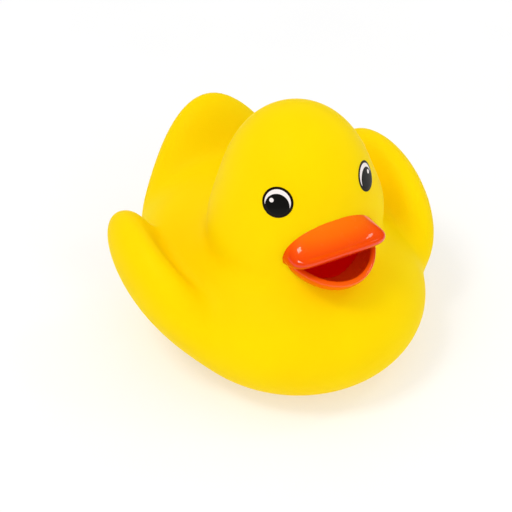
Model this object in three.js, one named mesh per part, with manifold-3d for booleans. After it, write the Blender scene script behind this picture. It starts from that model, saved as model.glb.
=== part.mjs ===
// A hollow moulded rubber duck: body, rump, raised tail, cupped wings, full-cheeked head and open bill.
// Millimetres, +Z up. The duck faces -Y, and the origin is the bottom centre of its bounding box.
import * as THREE from "three";
import { mergeVertices } from "three/addons/utils/BufferGeometryUtils.js";
import Module from "manifold-3d";

// Moulding.
const WALL = 2.0;
const FLOOR_ROUNDING = 3.5;
const BASE_TRIM = 0.3;
const TRIM_BLOCK = 200;
const VENT_RADIUS = 2.5;
const VENT_SIDES = 24;
const SKIN_STEP = 3.8;
const HOLLOW_STEP = 5.2;

// Masses of the form, each an ellipsoid: a centre, three half sizes and, where it leans, a turn in degrees.
// taper narrows an ellipsoid towards its top.
const CHEST = { centre: [0, -1, 16.5], size: [37, 38.7, 22.8] };
const RUMP = { centre: [0, 24, 19.5], size: [33, 26, 20] };
const CRANIUM = { centre: [0, -2, 55.4], size: [18.7, 19.2, 20.2] };
const CHEEKS = { centre: [0, -2.3, 43.6], size: [24, 19.5, 15.2] };
const TAIL = { centre: [0, 45.3, 28], size: [22.4, 8.5, 23.4], turn: [-17, 0, 0], taper: [0.42, 0] };

// Wings, both given as if on the duck's left. The left one sits a little higher and further back.
const LEFT_WING = { centre: [35.2, 9.2, 27.2], turn: [26, 22, -1] };
const RIGHT_WING = { centre: [35.8, 7.3, 25.6], turn: [23, 25, -10] };
const WING_SIZE = [9.8, 24, 14.6];
const SCOOP_OFFSET = [-15, 4, 10];
const SCOOP_SIZE = [11, 27, 20];

// How softly each mass runs into the next.
const RUMP_BLEND = 14;
const TAIL_BLEND = 12;
const CHEEK_BLEND = 17;
const HEAD_BLEND = 16;
const WING_BLEND = 7;
const SCOOP_BLEND = 6;

// Bill. The upper half is a curved plate that falls from an arch on the face to a level lip.
const LIP_CENTRE_Y = -17;
const LIP_HALF_WIDTH = 14.3;
const LIP_REACH = 11.6;
const LIP_SQUARENESS = 4.6;
const LIP_TOP = 47.3;
const LIP_THICKNESS = 2.2;
const ROOT_THICKENING = 3;
const ARCH_BASE = 42;
const ARCH_RISE = 11.4;
const ARCH_HALF_WIDTH = 14.8;
const ARCH_FULLNESS = 2.3;
const FACE_Y = -22.4;
const FACE_CURVE = 0.0175;
const BILL_SHOULDER = 0.68;
const LIP_UPTURN = 0.6;
const UPTURN_START = 0.75;
const LIP_FLARE = 0.07;
const ROOT_DEPTH = -0.4;

// The lower half is a bowl whose rim tips down at the front, around an open mouth.
const BOWL = { centre: [0, -15.6, 45.4], size: [13.6, 18, 10.4], tip: 17.3 };
const BOWL_WALL = 1.3;
const BOWL_RIM = 1.2;
const BOWL_BEHIND = 6;
const MOUTH_ABOVE = 4.5;
const MOUTH_BEHIND = 3;

const BILL_COLUMNS = 40;
const BALL_COLUMNS = 28;
const BALL_ROWS = 12;

const wasm = await Module();
wasm.setup();

const radians = THREE.MathUtils.degToRad;

function turnMatrix([x, y, z]) {
  const turn = new THREE.Matrix4().makeRotationZ(radians(z));
  turn.multiply(new THREE.Matrix4().makeRotationX(radians(x)));
  turn.multiply(new THREE.Matrix4().makeRotationY(radians(y)));
  return turn;
}

// Rough distance from a point to an ellipsoid about the origin, negative inside.
function ellipsoidDistance(point, [a, b, c]) {
  const scaled = Math.hypot(point.x / a, point.y / b, point.z / c);
  const slope = Math.hypot(point.x / (a * a), point.y / (b * b), point.z / (c * c)) + 1e-9;
  return (scaled * (scaled - 1)) / slope;
}

// Distance to one mass of the form.
function makeMass({ centre, size, turn = [0, 0, 0], taper = [0, 0] }) {
  const place = turnMatrix(turn).setPosition(...centre);
  const inverse = place.invert();
  return (point) => {
    const local = point.clone().applyMatrix4(inverse);
    const height = THREE.MathUtils.clamp(local.z / size[2], -1.2, 1.2);
    local.x *= 1 + taper[0] * height;
    local.y *= 1 + taper[1] * height;
    return ellipsoidDistance(local, size);
  };
}

function smoothUnion(a, b, softness) {
  const overlap = Math.max(softness - Math.abs(a - b), 0) / softness;
  return Math.min(a, b) - (overlap ** 3 * softness) / 6;
}

function smoothCut(a, b, softness) {
  return -smoothUnion(-a, b, softness);
}

const chest = makeMass(CHEST);
const rump = makeMass(RUMP);
const cranium = makeMass(CRANIUM);
const cheeks = makeMass(CHEEKS);
const tail = makeMass(TAIL);
const leftWing = makeWing(LEFT_WING, 1);
const rightWing = makeWing(RIGHT_WING, -1);

// Distance to one cupped wing: side is 1 on the left and -1 on the right.
function makeWing({ centre, turn }, side) {
  const scoopCentre = new THREE.Vector3(...SCOOP_OFFSET).applyMatrix4(turnMatrix(turn));
  scoopCentre.add(new THREE.Vector3(...centre));
  const blade = makeMass({ centre, size: WING_SIZE, turn });
  const scoop = makeMass({ centre: scoopCentre.toArray(), size: SCOOP_SIZE, turn });
  return (point) => {
    const onLeft = new THREE.Vector3(point.x * side, point.y, point.z);
    return smoothCut(blade(onLeft), scoop(onLeft), SCOOP_BLEND);
  };
}

// Distance to the outside of the duck without its bill.
function skinDistance(point) {
  const head = smoothUnion(cranium(point), cheeks(point), CHEEK_BLEND);
  let distance = smoothUnion(chest(point), rump(point), RUMP_BLEND);
  distance = smoothUnion(distance, tail(point), TAIL_BLEND);
  distance = smoothUnion(distance, head, HEAD_BLEND);
  distance = smoothUnion(distance, leftWing(point), WING_BLEND);
  distance = smoothUnion(distance, rightWing(point), WING_BLEND);
  return smoothCut(distance, point.z + BASE_TRIM, FLOOR_ROUNDING);
}

function hollowDistance(point) {
  return skinDistance(point) + WALL;
}

function geometryFrom(positions, indices) {
  const geometry = new THREE.BufferGeometry();
  geometry.setAttribute("position", new THREE.Float32BufferAttribute(positions, 3));
  geometry.setIndex(indices);
  return geometry;
}

// Closed surface where a distance is zero: one corner per grid cell that the surface crosses.
function surfaceOf(distance, low, high, step) {
  const counts = low.map((value, axis) => Math.ceil((high[axis] - value) / step) + 1);
  const [countX, countY] = counts;
  const strides = [1, countX, countX * countY];
  const pointAt = (x, y, z) => new THREE.Vector3(low[0] + x * step, low[1] + y * step, low[2] + z * step);
  const values = [];
  for (let z = 0; z < counts[2]; z += 1) {
    for (let y = 0; y < countY; y += 1) {
      for (let x = 0; x < countX; x += 1) {
        values.push(distance(pointAt(x, y, z)));
      }
    }
  }
  const cornerOf = new Map();
  const positions = [];
  forEachCell(counts, (x, y, z) => {
    const cell = x + y * strides[1] + z * strides[2];
    const corner = crossingCentre(values, strides, cell);
    if (corner) {
      const start = pointAt(x, y, z).addScaledVector(corner, step);
      const settled = settleOnSurface(distance, start, step);
      cornerOf.set(cell, positions.length / 3);
      positions.push(settled.x, settled.y, settled.z);
    }
  });
  return geometryFrom(positions, facesAcrossEdges(counts, strides, values, cornerOf));
}

function forEachCell(counts, visit) {
  for (let z = 0; z < counts[2] - 1; z += 1) {
    for (let y = 0; y < counts[1] - 1; y += 1) {
      for (let x = 0; x < counts[0] - 1; x += 1) {
        visit(x, y, z);
      }
    }
  }
}

// Mean of the places where the surface crosses a cell's twelve edges, in cell units.
function crossingCentre(values, strides, cell) {
  const sum = new THREE.Vector3();
  let crossings = 0;
  for (let axis = 0; axis < 3; axis += 1) {
    const [first, second] = [(axis + 1) % 3, (axis + 2) % 3];
    for (const [i, j] of [[0, 0], [1, 0], [0, 1], [1, 1]]) {
      const start = cell + i * strides[first] + j * strides[second];
      const [a, b] = [values[start], values[start + strides[axis]]];
      if ((a < 0) !== (b < 0)) {
        const crossing = new THREE.Vector3();
        crossing.setComponent(axis, a / (a - b));
        crossing.setComponent(first, i);
        crossing.setComponent(second, j);
        sum.add(crossing);
        crossings += 1;
      }
    }
  }
  return crossings ? sum.divideScalar(crossings) : null;
}

// Moves a corner along the slope of the distance until it lies on the surface.
function settleOnSurface(distance, start, step) {
  const probe = 0.05;
  const point = start.clone();
  for (let round = 0; round < 3; round += 1) {
    const here = distance(point);
    const slope = new THREE.Vector3();
    for (let axis = 0; axis < 3; axis += 1) {
      const ahead = point.clone();
      ahead.setComponent(axis, ahead.getComponent(axis) + probe);
      slope.setComponent(axis, (distance(ahead) - here) / probe);
    }
    point.addScaledVector(slope, -here / Math.max(slope.lengthSq(), 0.1));
  }
  const move = point.sub(start).clampLength(0, step * 0.4);
  return move.add(start);
}

// Two triangles for every grid edge that the surface crosses, facing away from the inside.
function facesAcrossEdges(counts, strides, values, cornerOf) {
  const indices = [];
  forEachCell(counts, (x, y, z) => {
    const node = x + y * strides[1] + z * strides[2];
    const place = [x, y, z];
    for (let axis = 0; axis < 3; axis += 1) {
      const [first, second] = [(axis + 1) % 3, (axis + 2) % 3];
      const inside = values[node] < 0;
      const crosses = inside !== values[node + strides[axis]] < 0;
      if (crosses && place[first] > 0 && place[second] > 0) {
        const around = [node, node - strides[first], node - strides[first] - strides[second],
          node - strides[second]].map((cell) => cornerOf.get(cell));
        const [a, b, c, d] = inside ? around : around.reverse();
        indices.push(a, b, c, a, c, d);
      }
    }
  });
  return indices;
}

// Closed surface of rings between a first and a last pole. ringPoint gives a ring's point at an angle.
function ringedSurface(rings, columns, ringPoint) {
  const positions = [...ringPoint(rings[0], 0)];
  const middle = rings.slice(1, -1);
  for (const ring of middle) {
    for (let column = 0; column < columns; column += 1) {
      positions.push(...ringPoint(ring, (column / columns) * Math.PI * 2));
    }
  }
  positions.push(...ringPoint(rings.at(-1), 0));
  const last = positions.length / 3 - 1;
  const indices = [];
  for (let column = 0; column < columns; column += 1) {
    const next = (column + 1) % columns;
    indices.push(0, 1 + column, 1 + next);
    for (let row = 0; row < middle.length - 1; row += 1) {
      const [upper, lower] = [1 + row * columns, 1 + (row + 1) * columns];
      indices.push(upper + column, lower + column, lower + next);
      indices.push(upper + column, lower + next, upper + next);
    }
    const bottom = 1 + (middle.length - 1) * columns;
    indices.push(bottom + column, last, bottom + next);
  }
  return geometryFrom(positions, indices);
}

function roundedPower(value, power) {
  return Math.sign(value) * Math.abs(value) ** power;
}

// Height of the upper bill's top surface.
function upperBillTop(x, y) {
  const inside = Math.max(1 - Math.abs(x / ARCH_HALF_WIDTH) ** ARCH_FULLNESS, 0);
  const arch = inside ** (1 / ARCH_FULLNESS);
  const rootHeight = ARCH_BASE + ARCH_RISE * arch;
  const reach = Math.max(billReach(x, y), 0);
  const sweep = 0.5 + 0.5 * Math.cos(Math.PI * reach ** BILL_SHOULDER);
  const upturn = LIP_UPTURN * THREE.MathUtils.smoothstep(reach, UPTURN_START, 1);
  return LIP_TOP + (rootHeight - LIP_TOP) * sweep + upturn;
}

// How far a point lies from the face towards the lip: 0 on the face and 1 at the lip.
function billReach(x, y) {
  const face = FACE_Y + FACE_CURVE * x * x;
  const lip = LIP_CENTRE_Y - LIP_REACH;
  return THREE.MathUtils.clamp((face - y) / (face - lip), ROOT_DEPTH, 1);
}

// The plate's rings: how far out each lies, and whether it is on the top or on the underside.
function plateRings() {
  const spread = [0, 0.35, 0.62, 0.8, 0.9, 0.95, 0.985];
  const top = spread.map((out) => ({ out, side: 1 }));
  const underside = [...spread].reverse().map((out) => ({ out, side: -1 }));
  return [...top, { out: 1, side: 0 }, ...underside];
}

function upperBillPoint({ out, side }, angle) {
  const x = LIP_HALF_WIDTH * out * roundedPower(Math.cos(angle), 2 / LIP_SQUARENESS);
  const y = LIP_CENTRE_Y + LIP_REACH * out * roundedPower(Math.sin(angle), 2 / LIP_SQUARENESS);
  const rounding = LIP_THICKNESS / 2;
  const inset = Math.min(((1 - out) * LIP_REACH) / rounding, 1);
  const half = rounding * Math.sqrt(1 - (1 - inset) ** 2);
  const extra = side < 0 ? ROOT_THICKENING * (1 - billReach(x, y)) * (half / rounding) : 0;
  const flare = 1 + LIP_FLARE * (billReach(x, y) - 0.5);
  return [x * flare, y, upperBillTop(x, y) - rounding + side * half - extra];
}

function makeUpperBill() {
  return ringedSurface(plateRings(), BILL_COLUMNS, upperBillPoint);
}

// An ellipsoid with its own height above the middle and its own reach behind it, tipped down at the front.
function makeBall({ centre, size, above, behind, tip }) {
  const rings = Array.from({ length: BALL_ROWS + 1 }, (_, row) => (row / BALL_ROWS) * Math.PI);
  const ball = ringedSurface(rings, BALL_COLUMNS, (fall, angle) => {
    const height = Math.cos(fall);
    const girth = Math.abs(height) === 1 ? 0 : Math.sin(fall);
    const rise = height > 0 ? above : size[2];
    const reach = Math.sin(angle) < 0 ? size[1] : behind;
    return [size[0] * girth * Math.cos(angle), reach * girth * Math.sin(angle), rise * height];
  });
  ball.rotateX(radians(tip));
  ball.translate(...centre);
  return ball;
}

function makeBowl() {
  return makeBall({ ...BOWL, above: BOWL_RIM, behind: BOWL_BEHIND });
}

// The open mouth, grown on every side by some thickness.
function makeMouth(growth) {
  const size = BOWL.size.map((half) => half - BOWL_WALL + growth);
  return makeBall({ ...BOWL, size, above: MOUTH_ABOVE + growth, behind: MOUTH_BEHIND + growth });
}

function makeVent() {
  const vent = new THREE.CylinderGeometry(VENT_RADIUS, VENT_RADIUS, WALL * 4, VENT_SIDES);
  vent.rotateX(Math.PI / 2);
  return vent;
}

// Everything below the flat base.
function makeTrim() {
  const trim = new THREE.BoxGeometry(TRIM_BLOCK, TRIM_BLOCK, TRIM_BLOCK);
  trim.translate(0, 0, -TRIM_BLOCK / 2);
  return trim;
}

// Closed solid for cutting and joining.
function solidFrom(geometry) {
  const bare = geometry.clone();
  bare.deleteAttribute("normal");
  bare.deleteAttribute("uv");
  const merged = mergeVertices(bare, 1e-5);
  return new wasm.Manifold(new wasm.Mesh({
    numProp: 3,
    vertProperties: new Float32Array(merged.attributes.position.array),
    triVerts: new Uint32Array(merged.index.array),
  }));
}

function geometryFromSolid(solid) {
  const mesh = solid.getMesh();
  const geometry = geometryFrom(Array.from(mesh.vertProperties), Array.from(mesh.triVerts));
  geometry.computeVertexNormals();
  return geometry;
}

function makeDuckShell() {
  const low = [-52, -46, -4];
  const high = [52, 62, 84];
  const skin = solidFrom(surfaceOf(skinDistance, low, high, SKIN_STEP));
  const hollow = solidFrom(surfaceOf(hollowDistance, low, high, HOLLOW_STEP));
  const withMouth = skin.add(solidFrom(makeBowl())).subtract(solidFrom(makeMouth(0)));
  const outside = withMouth.add(solidFrom(makeUpperBill()));
  const inside = hollow.subtract(solidFrom(makeMouth(WALL)));
  return outside.subtract(inside).subtract(solidFrom(makeVent())).subtract(solidFrom(makeTrim()));
}

function makeDuck() {
  const geometry = geometryFromSolid(makeDuckShell());
  geometry.computeBoundingBox();
  const middle = geometry.boundingBox.getCenter(new THREE.Vector3());
  geometry.translate(-middle.x, -middle.y, -geometry.boundingBox.min.z);
  const vinyl = new THREE.MeshStandardMaterial({ color: 0xfbe000, roughness: 0.5, metalness: 0 });
  const shell = new THREE.Mesh(geometry, vinyl);
  shell.name = "duck_shell";
  const group = new THREE.Group();
  group.add(shell);
  return group;
}

export default makeDuck();
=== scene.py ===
"""Looks of the rubber duck: fine skin, painted bill and mouth, printed eyes, studio light and camera.

Shapes are worked out in millimetres in the form's own frame (base at z 0, head axis at x 0), then moved
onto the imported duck_shell. The duck faces -Y.
"""
import math

import bpy
import numpy as np
from mathutils import Matrix, Vector


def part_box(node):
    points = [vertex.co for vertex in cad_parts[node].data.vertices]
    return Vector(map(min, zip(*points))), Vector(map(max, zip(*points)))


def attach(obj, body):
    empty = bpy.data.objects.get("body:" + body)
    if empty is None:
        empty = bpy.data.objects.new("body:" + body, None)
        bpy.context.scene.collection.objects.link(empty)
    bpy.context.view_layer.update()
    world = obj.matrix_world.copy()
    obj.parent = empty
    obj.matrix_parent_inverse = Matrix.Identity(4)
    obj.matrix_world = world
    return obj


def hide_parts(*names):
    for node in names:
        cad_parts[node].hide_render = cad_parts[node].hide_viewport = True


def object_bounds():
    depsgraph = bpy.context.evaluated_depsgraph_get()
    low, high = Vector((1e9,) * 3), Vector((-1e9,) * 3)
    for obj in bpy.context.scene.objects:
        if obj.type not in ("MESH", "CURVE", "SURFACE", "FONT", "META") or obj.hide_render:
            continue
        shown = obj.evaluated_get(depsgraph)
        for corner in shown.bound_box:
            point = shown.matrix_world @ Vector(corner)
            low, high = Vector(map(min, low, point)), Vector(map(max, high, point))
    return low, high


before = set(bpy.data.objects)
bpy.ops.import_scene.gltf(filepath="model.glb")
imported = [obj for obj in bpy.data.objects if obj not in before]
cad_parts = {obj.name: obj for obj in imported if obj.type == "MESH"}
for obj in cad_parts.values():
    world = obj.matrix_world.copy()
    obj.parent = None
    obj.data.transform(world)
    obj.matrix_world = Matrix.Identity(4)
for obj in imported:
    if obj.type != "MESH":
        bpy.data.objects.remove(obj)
cad_low, cad_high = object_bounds()

MM = 0.001

# ---------------------------------------------------------------- driving sizes, millimetres and degrees

WALL = 2.0
FLOOR_ROUNDING = 3.5
BASE_TRIM = 0.3
VENT_RADIUS = 2.5
VENT_ROUNDING = 0.7
SKIN_STEP = 1.0
MOUTH_STEP = 0.4

# Masses of the form: centre, half sizes, turn in degrees, and how much x narrows towards the top.
CHEST = dict(centre=(0, -1, 16.5), size=(37, 38.7, 22.8))
RUMP = dict(centre=(0, 24, 19.5), size=(33, 26, 20))
CRANIUM = dict(centre=(0, -2, 55.4), size=(18.7, 19.2, 20.2))
CHEEKS = dict(centre=(0, -2.3, 43.6), size=(24, 19.5, 15.2))
TAIL = dict(centre=(0, 45.3, 28), size=(22.4, 8.5, 23.4), turn=(-17, 0, 0), narrowing=0.42)
# The left wing sits a little higher and further back than the right. Both are given as if on the left.
LEFT_WING = dict(centre=(35.2, 9.2, 27.2), turn=(26, 22, -1))
RIGHT_WING = dict(centre=(35.8, 7.3, 25.6), turn=(23, 25, -10))
WING_SIZE = (9.8, 24, 14.6)
SCOOP_OFFSET = (-15, 4, 10)
SCOOP_SIZE = (11, 27, 20)
NARROWING_LIMIT = 1.2

RUMP_BLEND = 14
TAIL_BLEND = 12
CHEEK_BLEND = 17
HEAD_BLEND = 16
WING_BLEND = 7
SCOOP_BLEND = 6

# Bill: the upper half is a plate that falls from an arch on the face to a level lip.
LIP_CENTRE_Y = -17
LIP_HALF_WIDTH = 14.3
LIP_REACH = 11.6
LIP_SQUARENESS = 4.6
LIP_TOP = 47.3
LIP_THICKNESS = 2.2
ROOT_THICKENING = 3
ARCH_BASE = 42
ARCH_RISE = 12.4
ARCH_HALF_WIDTH = 14.8
ARCH_FULLNESS = 2.0
FACE_Y = -22.4
FACE_CURVE = 0.0175
BILL_SHOULDER = 0.68
LIP_UPTURN = 0.6
UPTURN_START = 0.75
LIP_FLARE = 0.07
ROOT_DEPTH = -0.4
BILL_COLUMNS = 160
BILL_ROWS = 26

# The lower half is a bowl whose rim tips down at the front.
BOWL_CENTRE = (0, -15.6, 45.4)
BOWL_SIZE = (13.6, 18, 10.4)
BOWL_TIP = 17.3
BOWL_WALL = 1.3
MOUTH_ABOVE = 4.5
MOUTH_BEHIND = 3
BILL_ROOT = 1.2
RIM_ROUNDING = 0.8
PAINT_DEPTH = 0.3
LINING_DEPTH = 1.3
LINING_BELOW_RIM = 0.3

# Eyes: printed layers, each a little prouder than the one below.
EYE_CENTRES = {1: (12.36, -16.8, 59.9), -1: (-13.43, -15.96, 59.65)}
EYE_RADIUS = 4.1
WHITE_RADIUS = 3.45
PUPIL_RADIUS = 3.28
PUPIL_DROP = 0.98
GLINT_RADIUS = 0.6
GLINT_BACK = 1.6
GLINT_RISE = 0.4
PRINT_STEP = 0.04
PRINT_ROOT = 0.25
PRINT_COLUMNS = 96
PRINT_ROWS = 9
PRINT_BEVEL = 0.97

# Boxes searched for surfaces, and how corners are moved onto them.
SKIN_BOX = (-50, -46, -4), (50, 60, 82)
MOUTH_BOX = (-16, -37, 30), (16, -9, 53)
SETTLE_PROBE = 0.02
SETTLE_ROUNDS = 4
SETTLE_REACH = 0.45
EYE_PROBE = 0.05
EYE_ROUNDS = 8

# ---------------------------------------------------------------- surfaces, light and camera

# Colours are display values of 0 to 255. Depths are in metres, and noise grain is in cycles to the metre.
VINYL_COLOURS = (251, 211, 0), (252, 215, 0)
VINYL_CLOUDS = 45
CLOUD_STOPS = (0.35, 0.65)
VINYL_ROUGHNESS = (0.46, 0.6)
VINYL_PATCHES = 160
VINYL_GRAIN = 900
VINYL_GRAIN_DEPTH = 0.00012
VINYL_GRAIN_STRENGTH = 0.12
PAINT_CLOUDS = 130
PAINT_WAVES = 260
PAINT_WAVE_DEPTH = 0.0003
PAINT_PATCHES = 300
PAINT_ROUGHEST = 1.6
BLACK_COLOURS = (22, 9, 2), (24, 12, 4)
CHARCOAL_COLOURS = (14, 12, 11), (18, 16, 15)
WHITE_COLOURS = (236, 226, 224), (244, 236, 232)

# Bill colours in turn, between two places on one axis of the form (1 is y and 2 is z).
# Upper bill: orange paint that turns darker and redder towards its low edge and lip, which is painted shade.
ORANGE_SHADE_COLOURS = [(228, 48, 2), (248, 84, 2), (252, 108, 1), (252, 116, 2)]
ORANGE_SHADE_RUN = dict(axis=2, start=46, end=53, colours=ORANGE_SHADE_COLOURS)
# Lower bill: a darker copy of the bill's orange, darker still towards the face, which is painted shade under
# the upper bill.
LOWER_BILL_SHADE_RUN = dict(axis=1, start=-33, end=-22, colours=[(246, 96, 4), (238, 66, 2)])
# Mouth: red paint, orange-red at the front and deep red towards the throat; the deepening is painted shade
# under the upper bill.
RED_SHADE_RUN = dict(axis=1, start=-32, end=-22, colours=[(255, 92, 0), (252, 40, 0), (222, 0, 0)])
# The red paint glows a little: painted light that lightens the mouth's shade.
RED_GLOW = 0.12

FLOOR_HALF = 2.0
FLOOR_COLOURS = (200, 200, 200), (203, 203, 203)
FLOOR_CLOUDS = 12
FLOOR_GLOW = 0.4
WORLD_STRENGTH = 0.8
LIGHT_DISTANCE = 0.9
# Each light: direction from the duck, side in metres, power in watts, and whether gloss mirrors it.
LIGHTS = {
    "key": ((-0.5, -0.02, 1.0), 0.24, 1.9, True),
    "front": ((-0.1, -0.9, 0.4), 0.5, 1.0, False),
    "second": ((0.61, -0.13, 0.77), 0.14, 0.4, True),
}

# The camera looks at a point this far across and up the picture, and down, from the form's origin.
CAMERA_AZIMUTH = -28.0
CAMERA_ELEVATION = 38.5
CAMERA_DISTANCE = 0.42
CAMERA_LENS = 100.4
SENSOR_WIDTH = 36
AIM_ACROSS = -9.8
AIM_UP = 26.7
AIM_DOWN = 8


# ---------------------------------------------------------------- distances to the form

def turn_matrix(turn):
    x, y, z = (math.radians(angle) for angle in turn)
    return np.array(Matrix.Rotation(z, 3, "Z") @ Matrix.Rotation(x, 3, "X") @ Matrix.Rotation(y, 3, "Y"))


def ellipsoid_distance(points, size):
    """Rough distance to an ellipsoid about the origin, negative inside."""
    size = np.array(size, float)
    scaled = np.linalg.norm(points / size, axis=-1)
    slope = np.linalg.norm(points / size ** 2, axis=-1) + 1e-9
    return scaled * (scaled - 1) / slope


def mass_distance(points, centre, size, turn=(0, 0, 0), narrowing=0):
    """Distance to an ellipsoid that may lean, and narrow from side to side towards its top."""
    local = (points - np.array(centre, float)) @ turn_matrix(turn)
    height = np.clip(local[..., 2] / size[2], -NARROWING_LIMIT, NARROWING_LIMIT)
    local[..., 0] *= 1 + narrowing * height
    return ellipsoid_distance(local, size)


def smooth_union(a, b, softness):
    """Smooth smaller of two distances, which keeps what lies inside either."""
    overlap = np.maximum(softness - np.abs(a - b), 0) / softness
    return np.minimum(a, b) - overlap ** 3 * softness / 6


def smooth_cut(a, b, softness):
    """Smooth larger of two distances, which keeps what lies inside both."""
    return -smooth_union(-a, -b, softness)


def wing_distance(points, side, centre, turn):
    """Distance to one cupped wing: side is 1 on the left and -1 on the right."""
    mirrored = points * np.array([side, 1.0, 1.0])
    scoop_centre = turn_matrix(turn) @ np.array(SCOOP_OFFSET, float) + np.array(centre)
    wing = mass_distance(mirrored, centre, WING_SIZE, turn)
    return smooth_cut(wing, -mass_distance(mirrored, scoop_centre, SCOOP_SIZE, turn), SCOOP_BLEND)


def skin_distance(points):
    """Distance to the outside of the duck without its bill."""
    head = smooth_union(mass_distance(points, **CRANIUM), mass_distance(points, **CHEEKS), CHEEK_BLEND)
    distance = smooth_union(mass_distance(points, **CHEST), mass_distance(points, **RUMP), RUMP_BLEND)
    distance = smooth_union(distance, mass_distance(points, **TAIL), TAIL_BLEND)
    distance = smooth_union(distance, head, HEAD_BLEND)
    distance = smooth_union(distance, wing_distance(points, 1, **LEFT_WING), WING_BLEND)
    distance = smooth_union(distance, wing_distance(points, -1, **RIGHT_WING), WING_BLEND)
    return smooth_cut(distance, -points[..., 2] - BASE_TRIM, FLOOR_ROUNDING)


def bowl_local(points):
    """Points in the lower bill's own axes, whose z is square to the rim."""
    return (points - np.array(BOWL_CENTRE, float)) @ turn_matrix((BOWL_TIP, 0, 0))


def bowl_distance(local, inset):
    return ellipsoid_distance(local, np.array(BOWL_SIZE) - inset)


def mouth_distance(points):
    """Distance to the open mouth, with its own height above the rim and its own reach towards the throat."""
    local = bowl_local(points)
    size = np.broadcast_to(np.array(BOWL_SIZE) - BOWL_WALL, local.shape).copy()
    size[..., 1] = np.where(local[..., 1] > 0, MOUTH_BEHIND, size[..., 1])
    size[..., 2] = np.where(local[..., 2] > 0, MOUTH_ABOVE, size[..., 2])
    return ellipsoid_distance(local, size)


def shell_distance(points):
    """The yellow moulding: skin, hollow inside, mouth and vent."""
    skin = skin_distance(points)
    mouth = mouth_distance(points)
    hollow = np.maximum(skin + WALL, WALL - mouth)
    shell = np.maximum(np.maximum(skin, -hollow), PAINT_DEPTH - mouth)
    vent = np.hypot(points[..., 0], points[..., 1]) - VENT_RADIUS
    vent = np.maximum(vent, points[..., 2] - 2 * WALL)
    return np.maximum(smooth_cut(shell, -vent, VENT_ROUNDING), -points[..., 2])


def lower_bill_distance(points):
    """The bowl's wall, with a rounded rim."""
    local = bowl_local(points)
    inside = bowl_distance(local, BOWL_WALL + PAINT_DEPTH)
    wall = smooth_cut(bowl_distance(local, 0), -inside, RIM_ROUNDING)
    wall = smooth_cut(wall, local[..., 2], RIM_ROUNDING)
    return np.maximum(wall, -skin_distance(points) - BILL_ROOT)


def lining_distance(points):
    """Red paint on the bowl's inside and on the throat."""
    mouth = mouth_distance(points)
    layer = np.maximum(-mouth, mouth - LINING_DEPTH)
    local = bowl_local(points)
    below_rim = local[..., 2] + RIM_ROUNDING * LINING_BELOW_RIM
    in_bowl = np.maximum(bowl_distance(local, 0) + PAINT_DEPTH, below_rim)
    in_head = skin_distance(points) + PAINT_DEPTH
    return np.maximum(layer, np.minimum(in_bowl, in_head))


# ---------------------------------------------------------------- meshes from distances

EDGES = [(axis, i, j) for axis in range(3) for i in (0, 1) for j in (0, 1)]


def settle(distance, points, limit):
    """Moves points along the distance's slope until they lie on the surface."""
    start = points.copy()
    for _ in range(SETTLE_ROUNDS):
        here = distance(points)
        slopes = [(distance(points + SETTLE_PROBE * row) - here) / SETTLE_PROBE for row in np.eye(3)]
        slope = np.stack(slopes, -1)
        steepness = np.maximum((slope ** 2).sum(-1), 0.1)
        points = points - slope * (here / steepness)[:, None]
    move = points - start
    length = np.linalg.norm(move, axis=1, keepdims=True) + 1e-12
    return start + move * np.minimum(1, limit / length)


def surface_of(distance, low, high, step):
    """Closed quad mesh where a distance is zero, with one corner for each grid cell that it crosses."""
    half = [int(math.ceil((end - start) / step / 2)) for start, end in zip(low, high)]
    middle = [(end + start) / 2 for start, end in zip(low, high)]
    axes = [m + step * np.arange(-n, n + 1) for m, n in zip(middle, half)]
    grid = np.stack(np.meshgrid(*axes, indexing="ij"), -1)
    values = np.stack([distance(layer) for layer in grid])
    cells = tuple(n - 1 for n in values.shape)
    total = np.zeros(cells + (3,))
    count = np.zeros(cells)
    for axis, i, j in EDGES:
        first, second = (axis + 1) % 3, (axis + 2) % 3
        begin = [0, 0, 0]
        begin[first], begin[second] = i, j
        end = list(begin)
        end[axis] = 1
        a = values[tuple(slice(b, b + c) for b, c in zip(begin, cells))]
        b = values[tuple(slice(e, e + c) for e, c in zip(end, cells))]
        crossed = (a < 0) != (b < 0)
        share = np.where(crossed, a / np.where(a == b, 1, a - b), 0)
        total[..., axis] += share
        total[..., first] += crossed * i
        total[..., second] += crossed * j
        count += crossed
    active = count > 0
    corner_of = np.full(cells, -1)
    corner_of[active] = np.arange(active.sum())
    corners = grid[:-1, :-1, :-1][active] + step * total[active] / count[active][:, None]
    corners = settle(distance, corners, step * SETTLE_REACH)
    faces = []
    for axis in range(3):
        first, second = (axis + 1) % 3, (axis + 2) % 3
        ahead = [slice(None)] * 3
        behind = [slice(None)] * 3
        ahead[axis], behind[axis] = slice(1, None), slice(None, -1)
        inside = values < 0
        crossed = np.argwhere(inside[tuple(ahead)] != inside[tuple(behind)])
        away = inside[tuple(behind)][tuple(crossed.T)]
        ring = []
        for i, j in ((0, 0), (1, 0), (1, 1), (0, 1)):
            cell = crossed.copy()
            cell[:, first] -= i
            cell[:, second] -= j
            ring.append(corner_of[tuple(cell.T)])
        ring = np.stack(ring, 1)
        faces.append(np.where(away[:, None], ring, ring[:, ::-1]))
    return corners, np.concatenate(faces)


def ringed_surface(rings):
    """Closed mesh through rings of points, whose first and last are single points."""
    first, middle, last = rings[0][:1], rings[1:-1], rings[-1][:1]
    columns = len(middle[0])
    corners = np.concatenate([first, *middle, last])
    column = np.arange(columns)
    following = (column + 1) % columns
    quads = []
    for row in range(len(middle) - 1):
        upper = 1 + row * columns
        lower = upper + columns
        quads.append(np.stack([upper + column, lower + column, lower + following, upper + following], 1))
    end = len(corners) - 1
    bottom = 1 + (len(middle) - 1) * columns
    caps = [np.stack([0 * column, 1 + column, 1 + following], 1)]
    caps.append(np.stack([bottom + column, 0 * column + end, bottom + following], 1))
    return corners, [list(face) for part in quads + caps for face in part.tolist()]


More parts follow.
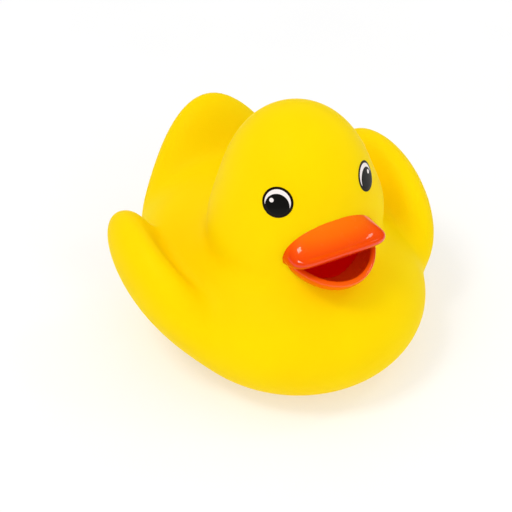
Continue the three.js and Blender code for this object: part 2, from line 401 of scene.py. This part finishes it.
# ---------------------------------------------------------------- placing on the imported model

def form_shift(corners):
    """Move, in millimetres, from the form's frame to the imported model's."""
    low, high = corners.min(0), corners.max(0)
    box_low, box_high = (np.array(corner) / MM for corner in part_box("duck_shell"))
    shift = (box_low + box_high) / 2 - (low + high) / 2
    shift[2] = box_low[2] - low[2]
    return shift


def add_piece(name, corners, faces, material, slot, crease=40):
    mesh = bpy.data.meshes.new(name)
    faces = faces.tolist() if isinstance(faces, np.ndarray) else faces
    mesh.from_pydata(((corners + SHIFT) * MM).tolist(), [], faces)
    mesh.validate()
    mesh.shade_smooth()
    mesh.set_sharp_from_angle(angle=math.radians(crease))
    mesh.materials.append(material)
    piece = bpy.data.objects.new(name, mesh)
    bpy.context.scene.collection.objects.link(piece)
    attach(piece, "root")
    return piece


# ---------------------------------------------------------------- materials

def new_material(name):
    material = bpy.data.materials.new(name)
    material.use_nodes = True
    return material, material.node_tree, material.node_tree.nodes["Principled BSDF"]


def linear(red, green, blue):
    """Scene colour from display values of 0 to 255."""
    values = (value / 255 for value in (red, green, blue))
    return tuple(v / 12.92 if v <= 0.04045 else ((v + 0.055) / 1.055) ** 2.4 for v in values) + (1.0,)


def noise(tree, scale, detail=3.0, roughness=0.5):
    """Noise whose grain is set by position on the object, in metres."""
    place = tree.nodes.new("ShaderNodeTexCoord")
    texture = tree.nodes.new("ShaderNodeTexNoise")
    texture.inputs["Scale"].default_value = scale
    texture.inputs["Detail"].default_value = detail
    texture.inputs["Roughness"].default_value = roughness
    tree.links.new(place.outputs["Object"], texture.inputs["Vector"])
    return texture.outputs["Fac"]


def clouded(tree, scale, colours, detail=3.0):
    """Colour that drifts between two close colours over soft clouds of noise."""
    node = tree.nodes.new("ShaderNodeValToRGB")
    for stop, position, colour in zip(node.color_ramp.elements, CLOUD_STOPS, colours):
        stop.position = position
        stop.color = linear(*colour)
    tree.links.new(noise(tree, scale, detail), node.inputs["Fac"])
    return node.outputs["Color"]


def bump(tree, height, strength, distance):
    node = tree.nodes.new("ShaderNodeBump")
    node.inputs["Strength"].default_value = strength
    node.inputs["Distance"].default_value = distance
    tree.links.new(height, node.inputs["Height"])
    return node.outputs["Normal"]


def roughness_range(tree, value, low, high):
    node = tree.nodes.new("ShaderNodeMapRange")
    node.inputs["To Min"].default_value = low
    node.inputs["To Max"].default_value = high
    tree.links.new(value, node.inputs["Value"])
    return node.outputs["Result"]


def vinyl():
    """Soft moulded vinyl: satin, slightly see-through in depth, with a faint moulded grain."""
    material, tree, shader = new_material("yellow_vinyl")
    tree.links.new(clouded(tree, VINYL_CLOUDS, VINYL_COLOURS, 2.0), shader.inputs["Base Color"])
    grain = noise(tree, VINYL_GRAIN, 4.0, 0.6)
    tree.links.new(bump(tree, grain, VINYL_GRAIN_STRENGTH, VINYL_GRAIN_DEPTH), shader.inputs["Normal"])
    satin = roughness_range(tree, noise(tree, VINYL_PATCHES), *VINYL_ROUGHNESS)
    tree.links.new(satin, shader.inputs["Roughness"])
    shader.inputs["Specular IOR Level"].default_value = 0.03
    shader.inputs["Subsurface Weight"].default_value = 0.25
    shader.inputs["Subsurface Radius"].default_value = (1.0, 0.7, 0.1)
    shader.inputs["Subsurface Scale"].default_value = 0.003
    return material


def graded(tree, axis, start, end, colours):
    """Colour that runs through a list between two places on one axis of the form."""
    place = tree.nodes.new("ShaderNodeTexCoord")
    parts = tree.nodes.new("ShaderNodeSeparateXYZ")
    tree.links.new(place.outputs["Object"], parts.inputs["Vector"])
    spread = tree.nodes.new("ShaderNodeMapRange")
    spread.inputs["From Min"].default_value = (start + SHIFT[axis]) * MM
    spread.inputs["From Max"].default_value = (end + SHIFT[axis]) * MM
    tree.links.new(parts.outputs[axis], spread.inputs["Value"])
    node = tree.nodes.new("ShaderNodeValToRGB")
    stops = node.color_ramp.elements
    stops[0].color, stops[1].color = linear(*colours[0]), linear(*colours[-1])
    for step, colour in enumerate(colours[1:-1], 1):
        stops.new(step / (len(colours) - 1)).color = linear(*colour)
    tree.links.new(spread.outputs["Result"], node.inputs["Fac"])
    return node.outputs["Color"]


def add_gloss(tree, shader, roughness, waviness=0.05, coat=0.7):
    """Slightly wavy brushed-on gloss, over whatever colour the paint has."""
    waves = bump(tree, noise(tree, PAINT_WAVES, 2.0), waviness, PAINT_WAVE_DEPTH)
    tree.links.new(waves, shader.inputs["Normal"])
    uneven = roughness_range(tree, noise(tree, PAINT_PATCHES), roughness, roughness * PAINT_ROUGHEST)
    tree.links.new(uneven, shader.inputs["Roughness"])
    shader.inputs["Specular IOR Level"].default_value = 0.08
    shader.inputs["Coat Weight"].default_value = coat
    shader.inputs["Coat Roughness"].default_value = 0.06


def print_ink(name, colours, roughness, coat):
    """Printed ink for the eyes."""
    material, tree, shader = new_material(name)
    tree.links.new(clouded(tree, PAINT_CLOUDS, colours), shader.inputs["Base Color"])
    add_gloss(tree, shader, roughness, 0.02, coat)
    return material


def bill_paint(name, roughness, run, glow=0.0):
    """Gloss paint whose colour runs along the bill, with painted shade in the run. A glow is painted light,
    standing for light through the wall.
    """
    material, tree, shader = new_material(name)
    colour = graded(tree, **run)
    tree.links.new(colour, shader.inputs["Base Color"])
    tree.links.new(colour, shader.inputs["Emission Color"])
    shader.inputs["Emission Strength"].default_value = glow
    add_gloss(tree, shader, roughness)
    return material


# ---------------------------------------------------------------- pieces

def bill_reach(x, y):
    """How far a point lies from the face towards the lip: 0 on the face and 1 at the lip."""
    face = FACE_Y + FACE_CURVE * x * x
    lip = LIP_CENTRE_Y - LIP_REACH
    return np.clip((face - y) / (face - lip), ROOT_DEPTH, 1)


def upper_bill_top(x, y):
    inside = np.maximum(1 - np.abs(x / ARCH_HALF_WIDTH) ** ARCH_FULLNESS, 0)
    root_height = ARCH_BASE + ARCH_RISE * inside ** (1 / ARCH_FULLNESS)
    reach = np.maximum(bill_reach(x, y), 0)
    sweep = 0.5 + 0.5 * np.cos(math.pi * reach ** BILL_SHOULDER)
    late = np.clip((reach - UPTURN_START) / (1 - UPTURN_START), 0, 1)
    upturn = LIP_UPTURN * late ** 2 * (3 - 2 * late)
    return LIP_TOP + (root_height - LIP_TOP) * sweep + upturn


def rounded_power(value, power):
    return np.sign(value) * np.abs(value) ** power


def upper_bill_ring(out, side):
    angle = np.linspace(0, 2 * math.pi, BILL_COLUMNS, endpoint=False)
    x = LIP_HALF_WIDTH * out * rounded_power(np.cos(angle), 2 / LIP_SQUARENESS)
    y = LIP_CENTRE_Y + LIP_REACH * out * rounded_power(np.sin(angle), 2 / LIP_SQUARENESS)
    rounding = LIP_THICKNESS / 2
    inset = min((1 - out) * LIP_REACH / rounding, 1)
    half = rounding * math.sqrt(1 - (1 - inset) ** 2)
    under = ROOT_THICKENING * (1 - bill_reach(x, y)) * (half / rounding) if side < 0 else 0
    flare = 1 + LIP_FLARE * (bill_reach(x, y) - 0.5)
    return np.stack([x * flare, y, upper_bill_top(x, y) - rounding + side * half - under], 1)


def make_upper_bill():
    spread = np.sin(np.linspace(0, math.pi / 2, BILL_ROWS)[:-1])
    rings = [upper_bill_ring(out, 1) for out in spread]
    rings.append(upper_bill_ring(1.0, 0))
    rings += [upper_bill_ring(out, -1) for out in spread[::-1]]
    return ringed_surface(rings)


def eye_axes(side):
    """Eye centre on the skin, outward direction, and the directions to the duck's front and up across it."""
    centre = np.array(EYE_CENTRES[side], float)
    probes = EYE_PROBE * np.eye(3)
    outward = np.array([float(skin_distance(centre + row) - skin_distance(centre - row)) for row in probes])
    outward /= np.linalg.norm(outward)
    front = np.cross([0, 0, 1], outward)
    front /= np.linalg.norm(front)
    if front[1] > 0:
        front = -front
    up = np.cross(outward, front)
    if up[2] < 0:
        up = -up
    return centre, outward, front, up


def on_skin(points, outward):
    """Points moved along the outward direction until they lie on the skin."""
    for _ in range(EYE_ROUNDS):
        points = points - outward * skin_distance(points)[:, None]
    return points


def printed_patch(side, centre, radius_at, level):
    """Closed thin layer on the face, with its outline at radius_at(angle) about a centre (front, up)."""
    eye, outward, front, up = eye_axes(side)
    angle = np.linspace(0, 2 * math.pi, PRINT_COLUMNS, endpoint=False)
    if np.dot(np.cross(front, up), outward) < 0:
        angle = angle[::-1]
    radius = radius_at(angle)

    def ring(out, lift):
        across = centre[0] + radius * out * np.cos(angle)
        rise = centre[1] + radius * out * np.sin(angle)
        flat = eye + across[:, None] * front + rise[:, None] * up
        return on_skin(flat, outward) + outward * lift

    lift = PRINT_STEP * level
    outs = np.linspace(0, PRINT_BEVEL, PRINT_ROWS)
    rings = [ring(out, lift) for out in outs]
    rings += [ring(1.0, lift * 0.5), ring(1.0, -PRINT_ROOT)]
    rings += [ring(out, -PRINT_ROOT) for out in outs[:-1][::-1]]
    return ringed_surface(rings)


def disc(radius):
    return lambda angle: np.full_like(angle, radius)


def pupil_outline(angle):
    """The pupil's own circle, cut off where it would leave the white's circle."""
    along = PUPIL_DROP * np.sin(angle)
    to_white = along + np.sqrt(along ** 2 + WHITE_RADIUS ** 2 - PUPIL_DROP ** 2)
    return np.minimum(PUPIL_RADIUS, to_white)


skin_corners, skin_faces = surface_of(shell_distance, *SKIN_BOX, SKIN_STEP)
SHIFT = form_shift(skin_corners)

yellow = vinyl()
black = print_ink("black_print", BLACK_COLOURS, 0.35, 0.1)
charcoal = print_ink("charcoal_print", CHARCOAL_COLOURS, 0.35, 0.1)
white = print_ink("white_print", WHITE_COLOURS, 0.4, 0.3)
orange = bill_paint("orange_paint", 0.2, ORANGE_SHADE_RUN)
# The lower bill's paint is the bill's orange with painted shade in it.
shaded_orange = bill_paint("deep_orange_paint", 0.2, LOWER_BILL_SHADE_RUN)
red = bill_paint("red_paint", 0.16, RED_SHADE_RUN, RED_GLOW)

skin = add_piece("duck_skin", skin_corners, skin_faces, yellow, "yellow_vinyl", 50)
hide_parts("duck_shell")
add_piece("bill_upper", *make_upper_bill(), orange, "orange_paint", 60)
lower_bill = surface_of(lower_bill_distance, *MOUTH_BOX, MOUTH_STEP)
add_piece("bill_lower", *lower_bill, shaded_orange, "deep_orange_paint", 70)
lining = surface_of(lining_distance, *MOUTH_BOX, MOUTH_STEP)
add_piece("mouth_lining", *lining, red, "red_paint", 60)

EYE_LAYERS = (
    ("ring", (0, 0), disc(EYE_RADIUS), black, "black_print"),
    ("white", (0, 0), disc(WHITE_RADIUS), white, "white_print"),
    ("pupil", (0, -PUPIL_DROP), pupil_outline, charcoal, "black_print"),
    ("glint", (-GLINT_BACK, GLINT_RISE), disc(GLINT_RADIUS), white, "white_print"),
)
for side, word in ((1, "left"), (-1, "right")):
    for level, (part, centre, outline, material, slot) in enumerate(EYE_LAYERS, 1):
        patch = printed_patch(side, centre, outline, level)
        add_piece(f"eye_{part}_{word}", *patch, material, slot)


# ---------------------------------------------------------------- floor, light and camera

def add_floor():
    mesh = bpy.data.meshes.new("floor")
    corners = [(x * FLOOR_HALF, y * FLOOR_HALF, 0) for x, y in ((-1, -1), (1, -1), (1, 1), (-1, 1))]
    mesh.from_pydata(corners, [], [(0, 1, 2, 3)])
    material, tree, shader = new_material("floor")
    tree.links.new(clouded(tree, FLOOR_CLOUDS, FLOOR_COLOURS), shader.inputs["Base Color"])
    shader.inputs["Emission Color"].default_value = (1, 1, 1, 1)
    shader.inputs["Emission Strength"].default_value = FLOOR_GLOW
    shader.inputs["Roughness"].default_value = 0.8
    shader.inputs["Specular IOR Level"].default_value = 0.1
    mesh.materials.append(material)
    floor = bpy.data.objects.new("floor", mesh)
    floor.location.z = cad_low.z
    bpy.context.scene.collection.objects.link(floor)


def add_light(name, direction, size, power, mirrored):
    """Square soft light that looks at the duck from a direction."""
    data = bpy.data.lights.new(name, "AREA")
    data.size = size
    data.energy = power
    light = bpy.data.objects.new(name, data)
    light.visible_glossy = mirrored
    aim = Vector(direction).normalized()
    light.location = TARGET + aim * LIGHT_DISTANCE
    light.rotation_euler = aim.to_track_quat("Z", "Y").to_euler()
    bpy.context.scene.collection.objects.link(light)


def camera_axes():
    """Directions towards the camera, to the right of the picture and up it."""
    azimuth, elevation = math.radians(CAMERA_AZIMUTH), math.radians(CAMERA_ELEVATION)
    level = math.cos(elevation)
    back = np.array([math.sin(azimuth) * level, -math.cos(azimuth) * level, math.sin(elevation)])
    right = np.array([math.cos(azimuth), math.sin(azimuth), 0])
    return back, right, np.cross(back, right)


def add_camera():
    data = bpy.data.cameras.new("camera")
    data.lens = CAMERA_LENS
    data.sensor_width = SENSOR_WIDTH
    camera = bpy.data.objects.new("camera", data)
    camera.location = TARGET + Vector(BACK) * CAMERA_DISTANCE
    camera.rotation_euler = Vector(BACK).to_track_quat("Z", "Y").to_euler()
    bpy.context.scene.collection.objects.link(camera)
    bpy.context.scene.camera = camera


BACK, RIGHT, UP = camera_axes()
AIM = AIM_ACROSS * RIGHT + AIM_UP * UP - AIM_DOWN * np.array([0, 0, 1])
TARGET = Vector((AIM + SHIFT) * MM)

scene = bpy.context.scene
scene.view_settings.view_transform = "Standard"
world = bpy.data.worlds.new("studio")
world.use_nodes = True
world.node_tree.nodes["Background"].inputs["Color"].default_value = (1, 1, 1, 1)
world.node_tree.nodes["Background"].inputs["Strength"].default_value = WORLD_STRENGTH
world.cycles_visibility.glossy = False
scene.world = world
add_floor()
for name, settings in LIGHTS.items():
    add_light(name, *settings)
add_camera()
